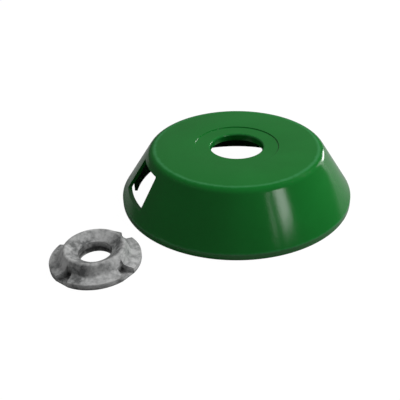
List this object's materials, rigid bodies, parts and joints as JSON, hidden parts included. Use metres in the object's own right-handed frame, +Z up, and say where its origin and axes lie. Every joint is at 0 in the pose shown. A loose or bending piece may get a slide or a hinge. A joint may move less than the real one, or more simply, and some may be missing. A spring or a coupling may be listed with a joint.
{
  "type": "wasp trap",
  "caption": "Low conical hood with side entry windows, a neck hole and an inner collar that stands on a jar, and a dished ring that drops over the hole.",
  "frame": {"origin": "centre of the collar's mouth, on the surface the hood stands on", "axes": "+Z up along the hood's axis; the view side is -Y, and the ring lies towards -X and -Y"},
  "size_m": [0.1499, 0.1465, 0.0294],
  "materials": {
    "hood_plastic": "glossy moulded green plastic",
    "ring_plastic": "smooth grey moulded plastic, slightly mottled"
  },
  "bodies": {
    "hood": {"hood": "hood_plastic"},
    "entry_ring": {"entry_ring": "ring_plastic"}
  },
  "joints": [
    {"name": "ring_lift", "type": "slide", "parent": "hood", "child": "entry_ring", "axis": [0, 0, 1], "range_m": [0, 0.06]}
  ]
}
